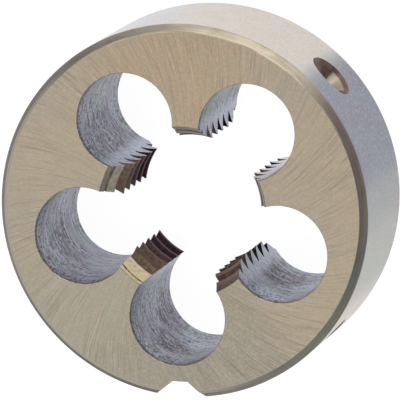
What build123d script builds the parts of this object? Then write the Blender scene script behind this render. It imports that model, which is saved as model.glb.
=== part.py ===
from build123d import *
import os
from math import radians, tan

# Round threading die for M20 x 2.5, a solid one-piece die of the 45 mm size.
#
# Frame: the bore axis is Z and the back face lies on Z = 0.  The front face, the side that is
# put to the work first, looks up.  The adjusting notch opens towards -Y.  Millimetres, degrees.
# Angles run anticlockwise from +X, seen from the front.

# ---- driving dimensions -------------------------------------------------------------------
OUTER_D = 45.0           # ground rim, a sliding fit in the 45 mm die stock
THICKNESS = 18.0
RIM_CHAMFER = 0.8        # on both edges of the rim

THREAD_D = 20.0          # M20, coarse
CREST_D = 17.0           # across the crests of the teeth, which cut the root of the rod's thread
PITCH = 2.5
FLANK_ANGLE = 60.0       # included angle of the ISO profile
ROOT_CLEARANCE = 0.15    # the roots are cut this much past the nominal radius
FRONT_PHASE = 0.135      # turns: a root meets the front face this far clockwise from +X

LEAD_MOUTH_D = 20.6      # the lead cone at each face
FRONT_LEAD_ANGLE = 22.0  # half angles: the front cone starts the thread and is the longer one
BACK_LEAD_ANGLE = 30.0

HOLE_COUNT = 5           # clearance holes, which make the cutting edges and let the chips out
HOLE_D = 11.7
HOLE_CIRCLE_D = 25.44
HOLE_START = 268.1       # the hole beside the notch

NOTCH_ANGLE = 270.0
NOTCH_DEPTH = 2.0
NOTCH_FLOOR = 1.85
NOTCH_INCLUDED = 100.0

DIMPLE_D = 6.2           # cone-point marks for the set screws of the stock
DIMPLE_INCLUDED = 90.0
DIMPLE_POINT_D = 0.8     # the drill leaves a small flat at the bottom
DIMPLE_OFFSETS = (45.0, 135.0, 225.0, 315.0)   # from the notch

# ---- derived ------------------------------------------------------------------------------
OUTER_R = OUTER_D / 2
THREAD_R = THREAD_D / 2
FLANK_SLOPE = tan(radians(FLANK_ANGLE / 2))
BORE_R = CREST_D / 2
ROOT_R = THREAD_R + ROOT_CLEARANCE
ROOT_FLAT = PITCH / 8    # flat of the ISO profile at the nominal radius

# ---- cutters ------------------------------------------------------------------------------
RUN_OUT = 3 * PITCH      # stock left past each face for the tap
RUN_OUT_TURNS = 3        # turns of the groove past the two faces together
OVERCUT = 1.0            # how far a cutter stands proud of the metal
GROOVE_OVERCUT = 0.3     # and how far the groove's section reaches inside the bore


def tapped_bar():
    """The bored and tapped bar, longer than the die at both ends."""
    bar_length = THICKNESS + 2 * RUN_OUT
    bar = Pos(0, 0, THICKNESS / 2) * Cylinder(OUTER_R, bar_length)
    bar -= Pos(0, 0, THICKNESS / 2) * Cylinder(BORE_R, bar_length)
    return bar - thread_groove()


def thread_groove():
    """A right-hand helix with the 60 degree groove section, from run-out to run-out."""
    turns = round(THICKNESS / PITCH) + RUN_OUT_TURNS
    groove_length = turns * PITCH
    groove_start = THICKNESS + PITCH * FRONT_PHASE - (turns - 1) * PITCH
    groove_open_r = BORE_R - GROOVE_OVERCUT
    half_at_root = ROOT_FLAT / 2 - ROOT_CLEARANCE * FLANK_SLOPE
    half_at_open = half_at_root + (ROOT_R - groove_open_r) * FLANK_SLOPE
    outline = Polyline(
        (ROOT_R, -half_at_root),
        (ROOT_R, half_at_root),
        (groove_open_r, half_at_open),
        (groove_open_r, -half_at_open),
        close=True,
    )
    section = make_face(Plane.XZ * outline)
    helix = Helix(pitch=PITCH, height=groove_length, radius=ROOT_R)
    return Pos(0, 0, groove_start) * sweep(sections=section, path=helix, is_frenet=True)


def lead_depth(half_angle):
    """How deep a lead cone would reach before it runs out inside the bore."""
    return (LEAD_MOUTH_D / 2 - BORE_R + OVERCUT) / tan(radians(half_angle))


def turned_form():
    """What the lathe and grinder leave: faces, rim, rim chamfers and both lead cones."""
    mouth_r = LEAD_MOUTH_D / 2
    inner_r = BORE_R - OVERCUT
    half_section = Polyline(
        (inner_r, lead_depth(BACK_LEAD_ANGLE)),
        (mouth_r, 0),
        (OUTER_R - RIM_CHAMFER, 0),
        (OUTER_R, RIM_CHAMFER),
        (OUTER_R, THICKNESS - RIM_CHAMFER),
        (OUTER_R - RIM_CHAMFER, THICKNESS),
        (mouth_r, THICKNESS),
        (inner_r, THICKNESS - lead_depth(FRONT_LEAD_ANGLE)),
        close=True,
    )
    return revolve(make_face(Plane.XZ * half_section), axis=Axis.Z)


def clearance_holes():
    """Five drilled holes that break into the bore and leave five toothed lands."""
    drill = Pos(0, 0, THICKNESS / 2) * Cylinder(HOLE_D / 2, THICKNESS + 2 * OVERCUT)
    return PolarLocations(HOLE_CIRCLE_D / 2, HOLE_COUNT, start_angle=HOLE_START) * drill


def adjusting_notch():
    """The flat-bottomed V milled along the rim, where the die may be slit for adjusting."""
    floor_r = OUTER_R - NOTCH_DEPTH
    open_r = OUTER_R + OVERCUT
    half_open = NOTCH_FLOOR / 2 + (open_r - floor_r) * tan(radians(NOTCH_INCLUDED / 2))
    outline = Polyline(
        (floor_r, -NOTCH_FLOOR / 2),
        (open_r, -half_open),
        (open_r, half_open),
        (floor_r, NOTCH_FLOOR / 2),
        close=True,
    )
    cutter = Pos(0, 0, -OVERCUT) * extrude(make_face(outline), THICKNESS + 2 * OVERCUT)
    return Rot(0, 0, NOTCH_ANGLE) * cutter


def screw_dimples():
    """Cone-shaped marks half way up the rim."""
    slope = tan(radians(DIMPLE_INCLUDED / 2))
    depth = (DIMPLE_D - DIMPLE_POINT_D) / 2 / slope
    mouth_r = DIMPLE_D / 2 + OVERCUT * slope
    cone = Cone(DIMPLE_POINT_D / 2, mouth_r, depth + OVERCUT)
    cutter = Pos(OUTER_R + (OVERCUT - depth) / 2, 0, THICKNESS / 2) * Rot(0, 90, 0) * cone
    return [Rot(0, 0, NOTCH_ANGLE + offset) * cutter for offset in DIMPLE_OFFSETS]


def round_die():
    die = tapped_bar() & turned_form()
    die -= clearance_holes()
    die -= adjusting_notch()
    die -= screw_dimples()
    return die


os.makedirs("parts", exist_ok=True)
export_step(round_die(), "parts/round_die.step")
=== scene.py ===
from math import acos, asin, atan2, ceil, cos, degrees, floor, hypot, pi, radians, sin, sqrt, tan

import bmesh
import bpy
from mathutils import Matrix, Vector
from mathutils.geometry import delaunay_2d_cdt


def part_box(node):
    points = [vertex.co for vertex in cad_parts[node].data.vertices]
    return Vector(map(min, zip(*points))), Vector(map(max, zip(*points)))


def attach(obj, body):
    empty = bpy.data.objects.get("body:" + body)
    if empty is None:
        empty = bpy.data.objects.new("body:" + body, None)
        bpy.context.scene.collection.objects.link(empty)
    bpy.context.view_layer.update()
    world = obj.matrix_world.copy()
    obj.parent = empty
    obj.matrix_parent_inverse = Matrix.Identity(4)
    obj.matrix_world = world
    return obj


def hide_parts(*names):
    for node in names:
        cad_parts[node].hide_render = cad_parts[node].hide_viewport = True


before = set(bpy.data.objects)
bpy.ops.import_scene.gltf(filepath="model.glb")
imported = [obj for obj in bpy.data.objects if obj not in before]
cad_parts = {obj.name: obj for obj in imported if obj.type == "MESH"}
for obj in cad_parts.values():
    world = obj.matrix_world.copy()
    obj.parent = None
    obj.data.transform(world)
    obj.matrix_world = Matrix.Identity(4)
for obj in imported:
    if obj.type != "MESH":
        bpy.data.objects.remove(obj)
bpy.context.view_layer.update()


# ---- The rim ---------------------------------------------------------------------------------
# The die is one disc of hardened tool steel.  Its rim is turned, chamfered on both edges, and
# then ground round, so that it slides into the die stock.

mm = 0.001
high_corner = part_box("round_die")[1]
outer_radius = high_corner[0]
thickness = high_corner[2]
middle = thickness / 2
rim_chamfer = 0.8 * mm
corner_reach = 0.10 * mm       # how far the small round on each edge of a chamfer reaches
corner_steps = 5               # faces across that round
notch_depth = 2.0 * mm
notch_floor = 1.85 * mm
notch_slope = tan(radians(100) / 2)
notch_direction = radians(270)
dimple_offsets = [radians(angle) for angle in (45, 135, 225, 315)]           # from the notch
eighth_steps = 12              # columns in an eighth of the way round a dimple
dimple_loop_step = radians(45) / eighth_steps
column_step = radians(1)       # and about this far apart elsewhere on the rim

skin = bmesh.new()             # the whole surface of the die, built up section by section
finish_names = []              # its finishes, in the order of the mesh's material slots


def spread(first, last, steps):
    """Evenly spaced values from first to last, both included."""
    return [first + (last - first) * step / steps for step in range(steps + 1)]


def lay_rows(rows, finish):
    """Adds four-sided faces between rows of points; finish may be a name or a function."""
    laid = [[skin.verts.new(point) for point in row] for row in rows]
    for upper, lower in zip(laid, laid[1:]):
        for place in range(len(upper) - 1):
            face = skin.faces.new((upper[place], upper[place + 1], lower[place + 1], lower[place]))
            name = finish if isinstance(finish, str) else finish(place, face.calc_center_median())
            if name not in finish_names:
                finish_names.append(name)
            face.material_index = finish_names.index(name)


def rounded(before, corner, after):
    """The points of a small round in the place of a corner of the section."""
    points = []
    for bend in spread(0, 1, corner_steps):
        points.append([
            a * (1 - bend) ** 2 + 2 * b * bend * (1 - bend) + c * bend ** 2
            for a, b, c in zip(before, corner, after)
        ])
    return points


def notch_edge(radius):
    """Half the angle of the notch where it cuts a circle of this radius."""
    offset = notch_floor / 2 - notch_slope * (outer_radius - notch_depth)
    square = notch_slope ** 2 + 1
    along = -notch_slope * offset
    along += sqrt((notch_slope * offset) ** 2 - square * (offset ** 2 - radius ** 2))
    along /= square
    return atan2(notch_slope * along + offset, along)


def around(radius, angle, height):
    """A point at this radius and angle round the bore's axis."""
    return (radius * cos(angle), radius * sin(angle), height)


finishes = {}                  # the steel finishes, by name


def steel_finish(name, roughness, metallic=1.0):
    """A new finish of the steel; returns its node tree and its shader."""
    material = bpy.data.materials.new(name)
    material.use_nodes = True
    tree = material.node_tree
    shader = tree.nodes["Principled BSDF"]
    shader.inputs["Metallic"].default_value = metallic
    shader.inputs["Roughness"].default_value = roughness
    finishes[name] = material
    return tree, shader


def place_on_die(tree, stretch=(1, 1, 1)):
    """The place on the die in millimetres, stretched along x, y and z."""
    coordinates = tree.nodes.new("ShaderNodeTexCoord")
    mapping = tree.nodes.new("ShaderNodeMapping")
    mapping.inputs["Scale"].default_value = [factor / mm for factor in stretch]
    tree.links.new(coordinates.outputs["Object"], mapping.inputs["Vector"])
    return mapping.outputs["Vector"]


def grain(tree, place, detail=2.0):
    """Soft noise with cells of about one unit."""
    noise = tree.nodes.new("ShaderNodeTexNoise")
    noise.inputs["Scale"].default_value = 1.0
    noise.inputs["Detail"].default_value = detail
    tree.links.new(place, noise.inputs["Vector"])
    return noise.outputs["Fac"]


def calculate(tree, operation, first, second):
    """One step of arithmetic; each side is a socket or a number."""
    node = tree.nodes.new("ShaderNodeMath")
    node.operation = operation
    for socket, value in zip(node.inputs, (first, second)):
        if isinstance(value, (int, float)):
            socket.default_value = value
        else:
            tree.links.new(value, socket)
    return node.outputs[0]


def calculate_vector(tree, operation, first, second=None):
    """One step with vectors; the second side is a socket, a fixed vector, a scale or nothing."""
    node = tree.nodes.new("ShaderNodeVectorMath")
    node.operation = operation
    tree.links.new(first, node.inputs[0])
    if isinstance(second, (int, float)):
        node.inputs["Scale"].default_value = second
    elif isinstance(second, tuple):
        node.inputs[1].default_value = second
    elif second is not None:
        tree.links.new(second, node.inputs[1])
    gives_number = operation in ("LENGTH", "DISTANCE", "DOT_PRODUCT")
    return node.outputs["Value" if gives_number else "Vector"]


def from_to(tree, value, low_value, high_value, low_result=0.0, high_result=1.0):
    """Rises smoothly from the low result to the high one between the two values."""
    node = tree.nodes.new("ShaderNodeMapRange")
    node.interpolation_type = "SMOOTHSTEP"
    node.inputs["From Min"].default_value = low_value
    node.inputs["From Max"].default_value = high_value
    node.inputs["To Min"].default_value = low_result
    node.inputs["To Max"].default_value = high_result
    tree.links.new(value, node.inputs["Value"])
    return node.outputs["Result"]


def two_colours(tree, share, first, second):
    """The first colour where share is 0 and the second where it is 1."""
    node = tree.nodes.new("ShaderNodeMix")
    node.data_type = "RGBA"
    tree.links.new(share, node.inputs["Factor"])
    for socket, colour in ((node.inputs[6], first), (node.inputs[7], second)):
        if isinstance(colour, tuple):
            socket.default_value = (*colour, 1)
        else:
            tree.links.new(colour, socket)
    return node.outputs[2]


def raise_surface(tree, shader, height, depth):
    """Lets a pattern stand up from the surface by at most this depth."""
    bump = tree.nodes.new("ShaderNodeBump")
    bump.inputs["Strength"].default_value = 1.0
    bump.inputs["Distance"].default_value = depth
    tree.links.new(height, bump.inputs["Height"])
    tree.links.new(bump.outputs["Normal"], shader.inputs["Normal"])


def on_side(tree, direction, half_width, fade):
    """1 on the side of the die within half_width degrees of a direction, 0 past a soft edge."""
    outward = calculate_vector(tree, "NORMALIZE", place_on_die(tree, (1, 1, 0)))
    nearness = calculate_vector(tree, "DOT_PRODUCT", outward, around(1, radians(direction), 0))
    far = cos(radians(half_width + fade / 2))
    near = cos(radians(half_width - fade / 2))
    return from_to(tree, nearness, far, near)


def below_face(tree):
    """How far this place is below the front face, in millimetres."""
    split = tree.nodes.new("ShaderNodeSeparateXYZ")
    tree.links.new(place_on_die(tree), split.inputs[0])
    return calculate(tree, "SUBTRACT", thickness / mm, split.outputs["Z"])


diagonal = corner_reach * sqrt(0.5)
rim_edge = thickness - rim_chamfer
rim_half_height = rim_edge - corner_reach - middle
face_radius = outer_radius - rim_chamfer - corner_reach
upper_corner = rounded(
    (face_radius, thickness),
    (outer_radius - rim_chamfer, thickness),
    (outer_radius - rim_chamfer + diagonal, thickness - diagonal),
)
lower_corner = rounded(
    (outer_radius - diagonal, rim_edge + diagonal),
    (outer_radius, rim_edge),
    (outer_radius, rim_edge - corner_reach),
)
square_steps = [tan(step * dimple_loop_step) for step in range(-eighth_steps, eighth_steps + 1)]
rim_heights = [middle + rim_half_height * step for step in reversed(square_steps)]
front_section = upper_corner + lower_corner
back_section = [(radius, thickness - height) for radius, height in reversed(front_section)]

dimple_sector = rim_half_height / outer_radius
first_column = notch_direction + notch_edge(outer_radius)
last_column = notch_direction + 2 * pi - notch_edge(outer_radius)
rim_spans = []                 # the stretches of plain rim between the dimples
span_start = first_column
for offset in dimple_offsets:
    rim_spans.append((span_start, notch_direction + offset - dimple_sector))
    span_start = notch_direction + offset + dimple_sector
rim_spans.append((span_start, last_column))

plain_columns = [
    spread(start, end, ceil((end - start) / column_step)) for start, end in rim_spans
]
dimple_columns = [
    [notch_direction + offset + dimple_sector * step for step in square_steps]
    for offset in dimple_offsets
]
all_columns = list(plain_columns[0])
for sector, plain in zip(dimple_columns, plain_columns[1:]):
    all_columns += sector[1:] + plain[1:]


def rim_row(radius, height):
    """One row round the die, from one edge of the notch to the other."""
    angles = list(all_columns)
    angles[0] = notch_direction + notch_edge(radius)
    angles[-1] = notch_direction + 2 * pi - notch_edge(radius)
    return [around(radius, angle, height) for angle in angles]


# fine turning rings; brown, olive and straw in turn round the die are a painted reflection, the straw at
# the top a painted highlight; the edge at the front face is rubbed bright on the left, and at the top a
# painted highlight runs along it
tree, shader = steel_finish("turned_chamfer", 0.40)
rings = grain(tree, place_on_die(tree, (0.25, 0.25, 14)), 3.0)
patches = grain(tree, place_on_die(tree, (0.35, 0.35, 0.35)), 3.0)
cut_marks = from_to(tree, rings, 0.3, 0.7)
turned = two_colours(tree, cut_marks, (0.175, 0.148, 0.132), (0.265, 0.232, 0.205))
# painted reflection by side round the die: brown, olive and dark olive, with straw as a painted highlight
# at the top
browned = two_colours(tree, cut_marks, (0.210, 0.162, 0.145), (0.275, 0.224, 0.200))
turned = two_colours(tree, on_side(tree, 20, 32, 20), turned, browned)
olive = two_colours(tree, cut_marks, (0.155, 0.148, 0.122), (0.225, 0.215, 0.180))
turned = two_colours(tree, on_side(tree, -44, 33, 18), turned, olive)
dark_olive = two_colours(tree, cut_marks, (0.105, 0.096, 0.082), (0.155, 0.143, 0.124))
turned = two_colours(tree, on_side(tree, 236, 24, 26), turned, dark_olive)
straw = two_colours(tree, cut_marks, (0.34, 0.30, 0.235), (0.45, 0.405, 0.325))
turned = two_colours(tree, on_side(tree, 78, 34, 30), turned, straw)
scaled = two_colours(tree, from_to(tree, patches, 0.45, 0.70, 0.0, 0.35), turned, (0.16, 0.14, 0.13))
inner_edge = from_to(tree, below_face(tree), 0.32, 0.20, 0.0, 0.92)
rubbed = calculate(tree, "MULTIPLY", inner_edge, on_side(tree, 212, 72, 40))
scaled = two_colours(tree, rubbed, scaled, (0.450, 0.405, 0.345))
# a thin painted highlight along the very edge at the top, broken up by the patches
very_edge = from_to(tree, below_face(tree), 0.12, 0.04)
painted_edge_highlight = calculate(tree, "MULTIPLY", very_edge, on_side(tree, 80, 40, 40))
painted_edge_highlight = calculate(tree, "MULTIPLY", painted_edge_highlight, from_to(tree, patches, 0.35, 0.60, 0.25, 1.0))
edged = two_colours(tree, painted_edge_highlight, scaled, (0.62, 0.55, 0.41))
tree.links.new(edged, shader.inputs["Base Color"])
raise_surface(tree, shader, rings, 0.012 * mm)

# grinding rings and fine mottling on silver; straw, sage and slate by side round the die are a painted
# reflection of the room
tree, shader = steel_finish("ground_rim", 0.42, 0.45)
shader.inputs["Anisotropic"].default_value = 0.4
rings = grain(tree, place_on_die(tree, (0.12, 0.12, 7)), 4.0)
mottle = grain(tree, place_on_die(tree, (3.2, 3.2, 2.0)), 4.0)
clouds = grain(tree, place_on_die(tree, (0.30, 0.30, 0.22)), 2.0)
cloudy = from_to(tree, clouds, 0.35, 0.65)
silver = two_colours(tree, cloudy, (0.60, 0.60, 0.60), (0.66, 0.66, 0.66))
straw = two_colours(tree, cloudy, (0.66, 0.575, 0.485), (0.68, 0.61, 0.545))
sage = two_colours(tree, cloudy, (0.430, 0.410, 0.362), (0.405, 0.425, 0.378))
slate = two_colours(tree, cloudy, (0.178, 0.172, 0.248), (0.172, 0.200, 0.266))
# painted reflection of the room, fixed by side round the die: straw on two sides, sage and slate between
# them
ground = two_colours(tree, on_side(tree, 76, 25, 14), silver, straw)
ground = two_colours(tree, on_side(tree, -43, 21, 14), ground, straw)
ground = two_colours(tree, on_side(tree, 11, 37, 14), ground, sage)
ground = two_colours(tree, calculate(tree, "MULTIPLY", on_side(tree, 22, 24, 12), 0.45), ground, slate)
ground = two_colours(tree, on_side(tree, 29, 18, 12), ground, slate)
blotches = grain(tree, place_on_die(tree, (0.9, 0.9, 0.9)), 3.0)
blotched = from_to(tree, blotches, 0.46, 0.60, 0.15, 0.65)
cooler = calculate(tree, "MULTIPLY", blotched, on_side(tree, 122, 26, 20))
ground = two_colours(tree, cooler, ground, (0.60, 0.635, 0.73))
rosy = grain(tree, place_on_die(tree, (1.9, 1.9, 1.4)), 3.0)
ground = two_colours(tree, from_to(tree, rosy, 0.50, 0.66, 0.0, 0.18), ground, (0.66, 0.54, 0.52))
ground = two_colours(tree, from_to(tree, rosy, 0.48, 0.34, 0.0, 0.22), ground, (0.40, 0.49, 0.58))
specks = two_colours(tree, from_to(tree, mottle, 0.36, 0.50, 0.16, 0.0), ground, (0.20, 0.19, 0.20))
specks = two_colours(tree, from_to(tree, mottle, 0.52, 0.68, 0.0, 0.09), specks, (0.90, 0.89, 0.88))
lined = two_colours(tree, from_to(tree, rings, 0.45, 0.75, 0.0, 0.14), specks, (0.30, 0.30, 0.31))
tree.links.new(lined, shader.inputs["Base Color"])
raise_surface(tree, shader, calculate(tree, "ADD", rings, mottle), 0.006 * mm)

for section in (front_section, back_section):
    lay_rows([rim_row(radius, height) for radius, height in section], "turned_chamfer")

for columns in plain_columns:
    lay_rows(
        [[around(outer_radius, angle, height) for angle in columns] for height in rim_heights],
        "ground_rim",
    )


# ---- The adjusting notch -----------------------------------------------------------------------
# A flat-bottomed V milled along the rim, where the die can be slit through and sprung open by a
# screw of the stock.  It runs from face to face.

section_rows = front_section + [(outer_radius, height) for height in rim_heights[1:-1]] + back_section
floor_y = notch_depth - outer_radius
notch_rows = []
for radius, height in section_rows:
    notch_rows.append((
        around(radius, notch_direction - notch_edge(radius), height),
        (-notch_floor / 2, floor_y, height),
        (notch_floor / 2, floor_y, height),
        around(radius, notch_direction + notch_edge(radius), height),
    ))
lay_rows(notch_rows, "milled_notch")

tree, shader = steel_finish("milled_notch", 0.38)
cuts = grain(tree, place_on_die(tree, (0.4, 0.4, 5)), 3.0)
milled = two_colours(tree, from_to(tree, cuts, 0.3, 0.7), (0.20, 0.175, 0.155), (0.36, 0.32, 0.29))
tree.links.new(milled, shader.inputs["Base Color"])
raise_surface(tree, shader, cuts, 0.02 * mm)


# ---- The set-screw dimples ---------------------------------------------------------------------
# Four cone-shaped marks half way up the rim, drilled before hardening.  The pointed screws of
# the stock press into them.

dimple_radius = 3.1 * mm
dimple_point = 0.4 * mm
dimple_rings = 7
cone_rings = 6
cone_base = outer_radius - dimple_radius     # on a 90 degree cone, where its point would be
highlight_side = (0.257, 0.743, 0.619)          # the way that the side with the painted highlight faces
loop_angles = [step * dimple_loop_step for step in range(8 * eighth_steps + 1)]


def dimple_mouth(turn):
    """How far from its axis the cone meets the round rim, in this direction round the axis."""
    across = cos(turn) ** 2
    total = 1 + across
    return (-cone_base + sqrt(cone_base ** 2 - total * (cone_base ** 2 - outer_radius ** 2))) / total


def square_edge(turn):
    """Where this direction leaves the square patch of rim round the dimple, along and up."""
    scale = rim_half_height / max(abs(cos(turn)), abs(sin(turn)))
    return scale * cos(turn), scale * sin(turn)


for offset in dimple_offsets:
    facing = notch_direction + offset
    patch_rows = []
    for share in spread(0, 1, dimple_rings):
        row = []
        for turn in loop_angles:
            mouth = dimple_mouth(turn)
            mouth_along = outer_radius * asin(mouth * cos(turn) / outer_radius)
            mouth_up = mouth * sin(turn)
            edge_along, edge_up = square_edge(turn)
            along = edge_along + (mouth_along - edge_along) * share
            up = edge_up + (mouth_up - edge_up) * share
            row.append(around(outer_radius, facing + along / outer_radius, middle + up))
        patch_rows.append(row)
    lay_rows(patch_rows, "ground_rim")

    cone_rows = []
    for share in spread(0, 1, cone_rings):
        row = []
        for turn in loop_angles:
            reach = dimple_mouth(turn) * (1 - share) + dimple_point * share
            deep = cone_base + reach
            side = reach * cos(turn)
            x = deep * cos(facing) - side * sin(facing)
            y = deep * sin(facing) + side * cos(facing)
            row.append((x, y, middle + reach * sin(turn)))
        cone_rows.append(row)
    point = ((cone_base + dimple_point) * cos(facing), (cone_base + dimple_point) * sin(facing), middle)
    cone_rows.append([point] * len(loop_angles))
    lay_rows(cone_rows, "drilled_dimple")


def from_bore_axis(tree):
    """How far this place is from the axis of the bore, in millimetres."""
    return calculate_vector(tree, "LENGTH", place_on_die(tree, (1, 1, 0)))


# brown scale from the hardening, with a painted highlight on one side of each cone
tree, shader = steel_finish("drilled_dimple", 0.38, 0.6)
scale_marks = grain(tree, place_on_die(tree, (0.9, 0.9, 0.9)), 4.0)
browned = from_to(tree, scale_marks, 0.3, 0.7)
drilled = two_colours(tree, browned, (0.082, 0.050, 0.040), (0.165, 0.112, 0.086))
highlight_tan = two_colours(tree, browned, (0.31, 0.265, 0.205), (0.42, 0.37, 0.295))
surface_normal = tree.nodes.new("ShaderNodeTexCoord").outputs["Normal"]
slant = calculate_vector(tree, "DOT_PRODUCT", surface_normal, highlight_side)
# painted highlight on the faces that point one way, stopping short of the mouth
highlight_wedge = from_to(tree, slant, 0.890, 0.925)
inside_mouth = from_to(tree, from_bore_axis(tree), outer_radius / mm - 0.35, outer_radius / mm - 0.55)
highlight_wedge = calculate(tree, "MULTIPLY", highlight_wedge, inside_mouth)
tree.links.new(two_colours(tree, highlight_wedge, drilled, highlight_tan), shader.inputs["Base Color"])
raise_surface(tree, shader, scale_marks, 0.01 * mm)


# ---- The tapped bore and the clearance holes ---------------------------------------------------
# The bore is tapped M20 x 2.5 right hand, and five clearance holes cut it into five lands with
# teeth.  A lead cone at each face thins the first teeth, so that the die starts on the rod.

pitch = 2.5 * mm
flank_slope = tan(radians(30))
bore_radius = 8.5 * mm         # across the crests of the teeth
root_clearance = 0.15 * mm     # the roots are cut this much past the rod's 10 mm radius
root_radius = 10.0 * mm + root_clearance
root_half = pitch / 16 - root_clearance * flank_slope
crest_start = root_half + (root_radius - bore_radius) * flank_slope
front_phase = 0.135            # turns: a root meets the front face this far clockwise from +X
lead_mouth = 10.3 * mm         # the radius of a lead cone at its face
front_lead = tan(radians(22))
back_lead = tan(radians(30))
hole_count = 5
hole_radius = 5.85 * mm
hole_distance = 12.72 * mm
hole_start = radians(268.1)    # the hole beside the notch; the others follow anticlockwise
edge_break = 0.04 * mm         # the keen edge at each face is just taken off

# the root, flank, crest and flank of one pitch of the thread: from, to, the radius at each end,
# and the rows laid before and after the place where the lead cone cuts it
stretches = (
    (-root_half, root_half, root_radius, root_radius, 1, 1),
    (root_half, crest_start, root_radius, bore_radius, 4, 2),
    (crest_start, pitch - crest_start, bore_radius, bore_radius, 1, 1),
    (pitch - crest_start, pitch - root_half, bore_radius, root_radius, 2, 4),
)
rows_per_pitch = sum(before + after for *_, before, after in stretches)


def lead_radius(height):
    """The radius of the lead cones at this height."""
    front = lead_mouth - (thickness - height) * front_lead
    back = lead_mouth - height * back_lead
    return max(front, back)


def thread_place(row, angle):
    """Height and radius of one row of the thread at this angle round the bore."""
    turn, step = divmod(row, rows_per_pitch)
    root_height = thickness + pitch * (front_phase + angle / (2 * pi)) + (turn - turns_below) * pitch
    for start, end, start_radius, end_radius, before, after in stretches:
        if step <= before + after:
            break
        step -= before + after
    start_height = root_height + start
    end_height = root_height + end
    start_proud = start_radius - lead_radius(start_height)
    end_proud = end_radius - lead_radius(end_height)
    thread_first = start_radius > end_radius
    if start_radius == end_radius:
        thread_first = start_height > middle
    if start_proud * end_proud < 0:
        cut = start_proud / (start_proud - end_proud)
    else:
        cut = 1 if (start_proud > 0) == thread_first else 0
    share = cut * step / before if step <= before else cut + (1 - cut) * (step - before) / after
    height = start_height + (end_height - start_height) * share
    radius = start_radius + (end_radius - start_radius) * share
    height = min(max(height, edge_break), thickness - edge_break)
    if height in (edge_break, thickness - edge_break):
        return height, lead_radius(height)
    return height, max(radius, lead_radius(height))


def hole_point(hole, turn, radius, height):
    """A point on the wall of a clearance hole; turn is 0 on the side away from the bore."""
    centre = hole_start + hole * 2 * pi / hole_count
    x = hole_distance * cos(centre) + radius * cos(centre + turn)
    y = hole_distance * sin(centre) + radius * sin(centre + turn)
    return (x, y, height)


def bore_angle(hole, turn, radius):
    """The same point's angle round the bore."""
    centre = hole_start + hole * 2 * pi / hole_count
    return centre + atan2(radius * sin(turn), hole_distance + radius * cos(turn))


def meeting_turn(hole_wall, bore_wall):
    """How far round a hole its wall meets a bore of this radius."""
    return acos((bore_wall ** 2 - hole_distance ** 2 - hole_wall ** 2) / (2 * hole_distance * hole_wall))


settling_rounds = 9            # a tooth's edge depends on its radius there, and that on the edge


def tooth_edge(row, hole, side):
    """Where a row of the thread runs out into the wall of a hole: the cutting edge."""
    turn = meeting_turn(hole_radius, bore_radius)
    for _ in range(settling_rounds):
        _, radius = thread_place(row, bore_angle(hole, side * turn, hole_radius))
        turn = meeting_turn(hole_radius, radius)
    return side * turn


steady_turn = radians(118)     # up to here the columns of a hole's wall stand straight
wall_columns = 60
edge_columns = 5               # from there to the teeth, on each side
land_columns = 18
columns_per_hole = wall_columns + 2 * edge_columns + land_columns


def wall_turns(start, end):
    """The columns of a hole's wall, from the teeth at one side to those at the other."""
    turns = spread(start, -steady_turn, edge_columns)
    turns += spread(-steady_turn, steady_turn, wall_columns)[1:]
    turns += spread(steady_turn, end, edge_columns)[1:]
    return turns


def bore_row(row):
    """One row right round the bore, along the thread, through all holes and over all lands."""
    points = []
    for hole in range(hole_count):
        turns = wall_turns(tooth_edge(row, hole, -1), tooth_edge(row, hole, 1))
        for turn in turns:
            height = thread_place(row, bore_angle(hole, turn, hole_radius))[0]
            points.append(hole_point(hole, turn, hole_radius, height))
        next_turn = tooth_edge(row, hole + 1, -1)
        land_start = bore_angle(hole, turns[-1], hole_radius)
        land_end = bore_angle(hole + 1, next_turn, hole_radius)
        for angle in spread(land_start, land_end, land_columns)[1:-1]:
            height, radius = thread_place(row, angle)
            points.append(around(radius, angle, height))
    height = thread_place(row, land_end)[0]
    points.append(hole_point(hole_count, next_turn, hole_radius, height))
    return points


def bore_finish(place, middle_point):
    """The finish of one face: the wall of a hole, a lead cone or the thread."""
    if place % columns_per_hole < wall_columns + 2 * edge_columns:
        return "hole_wall"
    angle = atan2(middle_point.y, middle_point.x)
    radius = hypot(middle_point.x, middle_point.y)
    root_height = thickness + pitch * (front_phase + angle / (2 * pi))
    from_root = abs((middle_point.z - root_height + pitch / 2) % pitch - pitch / 2)
    flank_radius = root_radius - (from_root - root_half) / flank_slope
    thread_radius = min(max(flank_radius, bore_radius), root_radius)
    return "lead_cone" if lead_radius(middle_point.z) > thread_radius else "thread"


start_turn = (hole_start - pi / hole_count) / (2 * pi)
turns_below = ceil(thickness / pitch + front_phase + start_turn + 1)
turns_above = floor(front_phase + start_turn)
row_count = (turns_below - turns_above) * rows_per_pitch
lay_rows([bore_row(row) for row in range(row_count + 1)], bore_finish)


def face_loop(height, grown):
    """The outline of the bore and its holes, at or near a face."""
    points = []
    bore_wall = lead_radius(height) + grown
    hole_wall = hole_radius + grown
    reach = meeting_turn(hole_wall, bore_wall)
    for hole in range(hole_count):
        points += [hole_point(hole, turn, hole_wall, height) for turn in wall_turns(-reach, reach)]
        land_start = bore_angle(hole, reach, hole_wall)
        land_end = bore_angle(hole + 1, -reach, hole_wall)
        lands = spread(land_start, land_end, land_columns)[1:-1]
        points += [around(bore_wall, angle, height) for angle in lands]
    points.append(hole_point(hole_count, -reach, hole_wall, height))
    return points


def marks_on_walls(tree, marks):
    """How strongly a place is marked: full in the middle of a mark, nothing past its reach."""
    strongest = 0.0
    for hole, side, height, reach, strength in marks:
        turn = radians(side) - hole_start - hole * 2 * pi / hole_count
        on_wall = hole_point(hole, turn, hole_radius, height * mm)
        spot = tuple(place / mm for place in on_wall)
        apart = calculate_vector(tree, "DISTANCE", place_on_die(tree), spot)
        share = from_to(tree, apart, reach, reach * 0.3, 0.0, strength)
        strongest = calculate(tree, "MAXIMUM", strongest, share)
    return strongest


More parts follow.
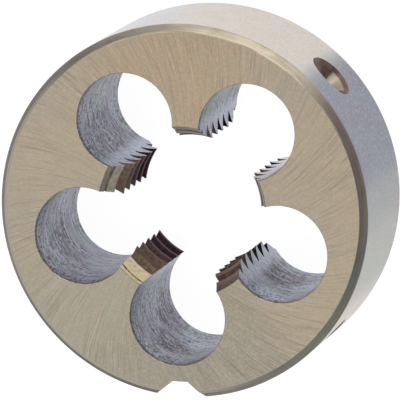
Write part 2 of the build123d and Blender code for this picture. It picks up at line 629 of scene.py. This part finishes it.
# marks that the drill and the hardening left: which hole, the side of its wall in degrees from
# +X, height and reach in millimetres, strength
burnt_marks = (
    (0, 240, 10, 4.5, 0.8),
    (0, 210, 4, 4.5, 0.6),
    (1, 240, 7, 5, 1.0),
    (3, 210, 7, 5, 0.4),
    (3, 225, 12, 4.5, 0.4),
    (4, 210, 9, 5, 0.5),
)
blued_marks = (
    (0, 270, 6, 4, 0.5),
    (1, 255, 15, 3.5, 0.9),
    (1, 285, 9, 4, 0.6),
    (4, 300, 14, 3.5, 0.3),
)
greened_marks = (
    (0, 150, 10, 4.5, 0.7),
    (2, 165, 12, 5.5, 0.8),
    (3, 150, 9, 5.5, 0.7),
)

# blue-grey drilled steel with torn streaks, pitted near the face; towards the bore it is ground bright,
# which gives the teeth their edge, and on one side that zone carries a painted highlight
tree, shader = steel_finish("hole_wall", 0.45)
scratches = grain(tree, place_on_die(tree, (0.48, 0.48, 3.7)), 3.0)
nicks = grain(tree, place_on_die(tree, (2.6, 2.6, 3.3)), 2.0)
dashes = calculate(tree, "MULTIPLY", calculate(tree, "ADD", scratches, nicks), 0.5)
rough_places = grain(tree, place_on_die(tree, (0.20, 0.20, 0.32)), 2.0)
bands = grain(tree, place_on_die(tree, (0.14, 0.14, 1.1)), 2.0)
speckle = grain(tree, place_on_die(tree, (3.2, 3.2, 2.2)), 1.0)
tint = grain(tree, place_on_die(tree, (0.45, 0.45, 0.7)), 3.0)
banded = from_to(tree, bands, 0.35, 0.65)
walls = two_colours(tree, banded, (0.235, 0.228, 0.290), (0.325, 0.340, 0.405))
tinted = two_colours(tree, from_to(tree, tint, 0.50, 0.66, 0.0, 0.75), walls, (0.255, 0.325, 0.315))
tinted = two_colours(tree, from_to(tree, tint, 0.46, 0.34, 0.0, 0.6), tinted, (0.270, 0.245, 0.340))
tinted = two_colours(tree, marks_on_walls(tree, greened_marks), tinted, (0.275, 0.345, 0.345))
burnt_share = marks_on_walls(tree, burnt_marks)
dull_share = calculate(tree, "MULTIPLY", burnt_share, 0.60)
tinted = two_colours(tree, dull_share, tinted, (0.132, 0.108, 0.148))
tinted = two_colours(tree, marks_on_walls(tree, blued_marks), tinted, (0.40, 0.45, 0.56))
torn = from_to(tree, rough_places, 0.36, 0.54, 0.35, 1.0)
torn_dark = calculate(tree, "MULTIPLY", torn, from_to(tree, dashes, 0.485, 0.43, 0.0, 1.0))
streaked = two_colours(tree, torn_dark, tinted, (0.078, 0.060, 0.080))
burnt_dashes = calculate(tree, "MULTIPLY", burnt_share, from_to(tree, dashes, 0.525, 0.47))
streaked = two_colours(tree, burnt_dashes, streaked, (0.052, 0.034, 0.056))
torn_bright = calculate(tree, "MULTIPLY", torn, from_to(tree, dashes, 0.53, 0.58, 0.0, 0.50))
bright = two_colours(tree, torn_bright, streaked, (0.48, 0.51, 0.60))
near_face = from_to(tree, below_face(tree), 5.0, 1.5)
pits = calculate(tree, "MULTIPLY", near_face, from_to(tree, speckle, 0.42, 0.37))
pitted = two_colours(tree, pits, bright, (0.02, 0.02, 0.025))
relief = from_to(tree, from_bore_axis(tree), 12.2, 10.4, 0.0, 0.85)
dashed = from_to(tree, dashes, 0.42, 0.58)
ground_back = two_colours(tree, dashed, (0.38, 0.40, 0.49), (0.54, 0.57, 0.68))
duller_back = two_colours(tree, dashed, (0.32, 0.335, 0.41), (0.46, 0.48, 0.57))
ground_back = two_colours(tree, on_side(tree, 322, 16, 8), ground_back, duller_back)
# painted highlight: pale pink on the ground zone on one side of the die
ground_back = two_colours(tree, on_side(tree, 30, 10, 8), ground_back, (0.80, 0.74, 0.80))
relieved = two_colours(tree, relief, pitted, ground_back)
at_mouth = from_to(tree, below_face(tree), 0.90, 0.55)
lip = calculate(tree, "MULTIPLY", at_mouth, from_to(tree, speckle, 0.58, 0.46, 0.55, 1.0))
lipped = two_colours(tree, lip, relieved, (0.032, 0.025, 0.020))
tree.links.new(lipped, shader.inputs["Base Color"])
raise_surface(tree, shader, dashes, 0.03 * mm)

brown_land = 0                 # each land is counted by the hole before it
sage_land = 3
highlight_land = 4


def on_land(tree, hole):
    """1 on the land between this hole and the next, 0 on the others."""
    return on_side(tree, degrees(hole_start) + (hole + 0.5) * 360 / hole_count, 24, 10)


# the tap leaves brown flanks with fine chatter; deeper in the bore they darken to nearly black, which is
# painted shade
tree, shader = steel_finish("thread", 0.34)
shader.inputs["Specular Tint"].default_value = (0.36, 0.30, 0.34, 1)
chatter = grain(tree, place_on_die(tree, (2.4, 2.4, 3.2)), 4.0)
burnt = from_to(tree, chatter, 0.3, 0.7)
# painted shade: flanks and crests darken from about 4 mm to 12 mm below the face
painted_shade_depth = from_to(tree, below_face(tree), 3.8, 12.0)
near_colour = two_colours(tree, burnt, (0.148, 0.094, 0.066), (0.250, 0.172, 0.126))
brown = two_colours(tree, burnt, (0.105, 0.060, 0.043), (0.200, 0.122, 0.090))
near_colour = two_colours(tree, on_land(tree, brown_land), near_colour, brown)
painted_shade_colour = two_colours(tree, burnt, (0.030, 0.017, 0.023), (0.072, 0.044, 0.050))
flanks = two_colours(tree, painted_shade_depth, near_colour, painted_shade_colour)
mouth_mark = two_colours(tree, burnt, (0.110, 0.090, 0.072), (0.230, 0.195, 0.155))
# painted highlight: straw on the first flanks of one land, by the mouth
straw = two_colours(tree, burnt, (0.110, 0.080, 0.052), (0.520, 0.410, 0.270))
mouth_mark = two_colours(tree, on_land(tree, highlight_land), mouth_mark, straw)
flanks = two_colours(tree, from_to(tree, below_face(tree), 1.8, 1.2), flanks, mouth_mark)
crest = from_to(tree, from_bore_axis(tree), bore_radius / mm + 0.06, bore_radius / mm + 0.01)
crests = two_colours(tree, painted_shade_depth, (0.230, 0.175, 0.135), (0.180, 0.140, 0.160))
tree.links.new(two_colours(tree, crest, flanks, crests), shader.inputs["Base Color"])
raise_surface(tree, shader, chatter, 0.006 * mm)

# turned rings, dark on most lands; sage on one land, brown on another, and on a third a golden painted
# highlight near the mouth
tree, shader = steel_finish("lead_cone", 0.42, 0.15)
shader.inputs["Specular IOR Level"].default_value = 0.25
rings = grain(tree, place_on_die(tree, (0.3, 0.3, 8)), 3.0)
rubbed = grain(tree, place_on_die(tree, (1.6, 1.6, 2.4)), 4.0)
cut_marks = from_to(tree, rings, 0.3, 0.7)
mouth = from_to(tree, below_face(tree), 1.4, 0.8)
cone = two_colours(tree, cut_marks, (0.10, 0.088, 0.068), (0.21, 0.195, 0.165))
sage = two_colours(tree, mouth, (0.60, 0.520, 0.425), (0.39, 0.315, 0.245))
dull_sage = two_colours(tree, mouth, (0.44, 0.380, 0.305), (0.29, 0.235, 0.185))
sage = two_colours(tree, from_to(tree, rubbed, 0.42, 0.62), dull_sage, sage)
cone = two_colours(tree, on_land(tree, sage_land), cone, sage)
# painted highlight: golden on one land, fading out about 3 mm below the face
gold_highlight = two_colours(tree, cut_marks, (0.92, 0.70, 0.42), (1.0, 0.91, 0.67))
gold_highlight = two_colours(tree, from_to(tree, rubbed, 0.50, 0.34, 0.0, 0.45), gold_highlight, (0.50, 0.35, 0.20))
highlight_near_mouth = two_colours(tree, from_to(tree, below_face(tree), 3.4, 2.8), (0.15, 0.10, 0.075), gold_highlight)
cone = two_colours(tree, on_land(tree, highlight_land), cone, highlight_near_mouth)
brown = two_colours(tree, mouth, (0.185, 0.098, 0.066), (0.075, 0.050, 0.044))
brown = two_colours(tree, from_to(tree, rubbed, 0.50, 0.68, 0.0, 0.5), brown, (0.25, 0.19, 0.16))
cone = two_colours(tree, on_land(tree, brown_land), cone, brown)
tree.links.new(cone, shader.inputs["Base Color"])
raise_surface(tree, shader, rings, 0.006 * mm)

tree, shader = steel_finish("edge_break", 0.35)
nicks = grain(tree, place_on_die(tree, (2.2, 2.2, 2.2)), 3.0)
broken = two_colours(tree, from_to(tree, nicks, 0.40, 0.60), (0.12, 0.105, 0.09), (0.40, 0.35, 0.27))
tree.links.new(broken, shader.inputs["Base Color"])

for inside, face in ((thickness - edge_break, thickness), (edge_break, 0)):
    lay_rows([face_loop(inside, 0), face_loop(face, edge_break)], "edge_break")


# ---- The end faces -----------------------------------------------------------------------------
# Both faces are surface ground on a turning table after hardening.  The wheel leaves fine lines
# that run from the bore to the rim in a slight curve.

hole_centres = [hole_point(hole, 0, 0, 0)[:2] for hole in range(hole_count)]
nearly_nothing = 1e-9          # points closer than this are one and the same
finish_names.append("ground_face")
for height in (thickness, 0):  # each is cut into triangles between the rim and the holes
    inner = face_loop(height, edge_break)[:-1]
    outer = rim_row(face_radius, height)
    outer += [(-notch_floor / 2, floor_y, height), (notch_floor / 2, floor_y, height)]
    corners = [Vector(point[:2]) for point in inner + outer]
    inner_edges = [(place, (place + 1) % len(inner)) for place in range(len(inner))]
    outer_edges = [
        (len(inner) + place, len(inner) + (place + 1) % len(outer)) for place in range(len(outer))
    ]
    edges = inner_edges + outer_edges
    points, _, triangles, *_ = delaunay_2d_cdt(corners, edges, [], 0, nearly_nothing)
    laid = [skin.verts.new((point.x, point.y, height)) for point in points]
    for triangle in triangles:
        centre = sum((points[corner] for corner in triangle), Vector((0, 0))) / 3
        in_hole = any(hypot(centre.x - x, centre.y - y) < hole_radius + edge_break for x, y in hole_centres)
        in_bore = centre.length < lead_mouth + edge_break
        half_notch = notch_floor / 2 - notch_slope * (centre.y - floor_y)
        in_notch = centre.y < floor_y and abs(centre.x) < half_notch
        if not (in_hole or in_bore or in_notch):
            face = skin.faces.new([laid[corner] for corner in triangle])
            face.material_index = finish_names.index("ground_face")


line_lag = 0.019               # radians for each millimetre
table_centre = (-2.4, -2.0, 0)      # in millimetres; the die lay a little off it


def lines_from_bore(tree, count, run, detail):
    """Lines from the bore to the rim, each lagging a little behind as it goes out.

    About count of them fit round the table, and a line changes once in 1 / run millimetres.
    """
    from_centre = calculate_vector(tree, "SUBTRACT", place_on_die(tree, (1, 1, 0)), table_centre)
    distance = calculate_vector(tree, "LENGTH", from_centre)
    rotate = tree.nodes.new("ShaderNodeVectorRotate")
    rotate.rotation_type = "Z_AXIS"
    tree.links.new(from_centre, rotate.inputs["Vector"])
    tree.links.new(calculate(tree, "MULTIPLY", distance, -line_lag), rotate.inputs["Angle"])
    unit = calculate_vector(tree, "NORMALIZE", rotate.outputs["Vector"])
    ring = calculate_vector(tree, "SCALE", unit, count / (2 * pi))
    lift = tree.nodes.new("ShaderNodeCombineXYZ")
    tree.links.new(calculate(tree, "MULTIPLY", distance, run), lift.inputs["Z"])
    return grain(tree, calculate_vector(tree, "ADD", ring, lift.outputs["Vector"]), detail)


# straw-coloured steel under two sets of grinding lines
tree, shader = steel_finish("ground_face", 0.40)
shader.inputs["Anisotropic"].default_value = 0.5
shader.inputs["Anisotropic Rotation"].default_value = 0.25
tangent = tree.nodes.new("ShaderNodeTangent")
tangent.direction_type = "RADIAL"
tangent.axis = "Z"
tree.links.new(tangent.outputs["Tangent"], shader.inputs["Tangent"])
coarse_lines = lines_from_bore(tree, 760, 0.20, 4.0)
fine_lines = lines_from_bore(tree, 1250, 0.30, 3.0)
plainness = grain(tree, place_on_die(tree, (0.12, 0.12, 0.12)), 2.0)
mottle = grain(tree, place_on_die(tree, (3.0, 3.0, 3.0)), 3.0)
clouds = grain(tree, place_on_die(tree, (0.07, 0.07, 0.07)), 1.0)
straw = two_colours(tree, from_to(tree, clouds, 0.3, 0.7), (0.378, 0.312, 0.230), (0.342, 0.302, 0.247))
amber = two_colours(tree, on_side(tree, 92, 26, 36), straw, (0.372, 0.284, 0.198))
amber = two_colours(tree, on_side(tree, 232, 26, 30), amber, (0.338, 0.312, 0.246))
dulled = two_colours(tree, on_side(tree, 278, 26, 40), amber, (0.288, 0.262, 0.214))
rosy = grain(tree, place_on_die(tree, (1.1, 1.1, 1.1)), 4.0)
dulled = two_colours(tree, from_to(tree, rosy, 0.50, 0.66, 0.0, 0.28), dulled, (0.46, 0.345, 0.270))
dulled = two_colours(tree, from_to(tree, rosy, 0.48, 0.34, 0.0, 0.28), dulled, (0.330, 0.330, 0.235))
speckled = two_colours(tree, from_to(tree, mottle, 0.42, 0.70, 0.0, 0.38), dulled, (0.47, 0.40, 0.29))
line_share = from_to(tree, plainness, 0.35, 0.60, 0.50, 1.0)
dark_lines = calculate(tree, "MULTIPLY", from_to(tree, coarse_lines, 0.50, 0.36, 0.0, 0.44), line_share)
lined = two_colours(tree, dark_lines, speckled, (0.17, 0.145, 0.12))
light_lines = calculate(tree, "MULTIPLY", from_to(tree, fine_lines, 0.52, 0.68, 0.0, 0.36), line_share)
finished = two_colours(tree, light_lines, lined, (0.56, 0.49, 0.38))
tree.links.new(finished, shader.inputs["Base Color"])
raise_surface(tree, shader, calculate(tree, "ADD", coarse_lines, fine_lines), 0.005 * mm)


# ---- The die as one piece ----------------------------------------------------------------------
# All of it is one piece of tool steel.  The stretches of surface above are joined along their
# edges, and the corners that the tools left stay crisp.

weld_distance = 0.002 * mm
crease_angle = radians(16)
bmesh.ops.remove_doubles(skin, verts=skin.verts, dist=weld_distance)
bmesh.ops.dissolve_degenerate(skin, edges=skin.edges, dist=weld_distance / 4)
bmesh.ops.recalc_face_normals(skin, faces=skin.faces)
die_mesh = bpy.data.meshes.new("threading_die")
skin.to_mesh(die_mesh)
skin.free()
die_mesh.shade_smooth()
die_mesh.set_sharp_from_angle(angle=crease_angle)
die = bpy.data.objects.new("threading_die", die_mesh)
bpy.context.scene.collection.objects.link(die)
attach(die, "root")
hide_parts("round_die")

for name in finish_names:
    die_mesh.materials.append(finishes[name])


# ---- The floor ---------------------------------------------------------------------------------
# A plain white table top, which the die lies on with its back face.  It keeps the soft shadow of
# the die, and from below the die is seen through it.

floor_half = 0.6
floor_drop = 0.01 * mm         # just under the back face
corners = [around(floor_half * sqrt(2), radians(quarter), 0) for quarter in (225, 315, 45, 135)]
floor_mesh = bpy.data.meshes.new("table_top")
floor_mesh.from_pydata(corners, [], [(0, 1, 2, 3)])
table_top = bpy.data.objects.new("table_top", floor_mesh)
table_top.location.z = -floor_drop
bpy.context.scene.collection.objects.link(table_top)

white = bpy.data.materials.new("white_table")
white.use_nodes = True
tree = white.node_tree
tree.nodes.clear()
table_paint = tree.nodes.new("ShaderNodeBsdfDiffuse")
table_paint.inputs["Color"].default_value = (0.8, 0.8, 0.8, 1)
shadow_catcher = tree.nodes.new("ShaderNodeBsdfDiffuse")
shadow_catcher.inputs["Color"].default_value = (0.25, 0.25, 0.25, 1)
glow = tree.nodes.new("ShaderNodeEmission")
glow.inputs["Strength"].default_value = 0.94
white_look = tree.nodes.new("ShaderNodeAddShader")
tree.links.new(shadow_catcher.outputs[0], white_look.inputs[0])
tree.links.new(glow.outputs[0], white_look.inputs[1])
path = tree.nodes.new("ShaderNodeLightPath")
looked_at = calculate(tree, "MAXIMUM", path.outputs["Is Camera Ray"], path.outputs["Is Glossy Ray"])
looked_at = calculate(tree, "MAXIMUM", looked_at, path.outputs["Is Transmission Ray"])
table = tree.nodes.new("ShaderNodeMixShader")
tree.links.new(looked_at, table.inputs[0])
tree.links.new(table_paint.outputs[0], table.inputs[1])
tree.links.new(white_look.outputs[0], table.inputs[2])
clear = tree.nodes.new("ShaderNodeBsdfTransparent")
underside = tree.nodes.new("ShaderNodeNewGeometry").outputs["Backfacing"]
one_sided = tree.nodes.new("ShaderNodeMixShader")
tree.links.new(underside, one_sided.inputs[0])
tree.links.new(table.outputs[0], one_sided.inputs[1])
tree.links.new(clear.outputs[0], one_sided.inputs[2])
output = tree.nodes.new("ShaderNodeOutputMaterial")
tree.links.new(one_sided.outputs[0], output.inputs["Surface"])
floor_mesh.materials.append(white)


# ---- The light ---------------------------------------------------------------------------------
# A white room with three large soft lamps: one like a window behind the die, one overhead and a
# weaker one in front.

world = bpy.data.worlds.new("white_room")
bpy.context.scene.world = world
world.use_nodes = True
tree = world.node_tree
room = tree.nodes["Background"]
room.inputs["Color"].default_value = (0.90, 0.95, 1.0, 1)
room.inputs["Strength"].default_value = 0.5


def soft_lamp(name, colour, brightness, width, height, place):
    """A large soft light that faces the die; a brightness of 1 is plain white."""
    light = bpy.data.lights.new(name, "AREA")
    light.shape = "RECTANGLE"
    light.size = width
    light.size_y = height
    light.color = colour
    light.energy = brightness * pi * width * height
    lamp = bpy.data.objects.new(name, light)
    lamp.location = place
    lamp.rotation_euler = (-Vector(place)).to_track_quat("-Z", "Y").to_euler()
    bpy.context.scene.collection.objects.link(lamp)


soft_lamp("window_softbox", (1.0, 0.93, 0.84), 2.2, 0.55, 0.30, (0.11, 0.53, 0.20))
soft_lamp("overhead_softbox", (1.0, 0.97, 0.93), 0.9, 0.7, 0.7, (-0.18, -0.14, 0.66))
soft_lamp("fill_softbox", (0.97, 1.0, 0.96), 1.0, 0.4, 0.3, (0.22, -0.50, 0.25))


# ---- The camera --------------------------------------------------------------------------------
# It looks down on the front face through a long lens, from about twenty degrees off the bore's
# axis, with the notch at the bottom of the picture.

camera_data = bpy.data.cameras.new("camera")
camera_data.sensor_width = 36
camera_data.lens = 522.28
camera_data.clip_end = 10
camera = bpy.data.objects.new("camera", camera_data)
bpy.context.scene.collection.objects.link(camera)
camera_aim = Vector((-0.149 * mm, -0.170 * mm, 9.0 * mm))
camera_round = radians(37.337)
camera_above = radians(71.460)
camera_distance = 0.69522
picture_up = radians(90.523)
back = Vector(around(cos(camera_above), camera_round, sin(camera_above)))
right = Vector(around(1, picture_up, 0)).cross(back).normalized()
up = back.cross(right)
turn_to_die = Matrix((right, up, back)).transposed().to_4x4()
camera.matrix_world = Matrix.Translation(camera_aim + back * camera_distance) @ turn_to_die
bpy.context.scene.camera = camera
bpy.context.scene.view_settings.view_transform = "Standard"
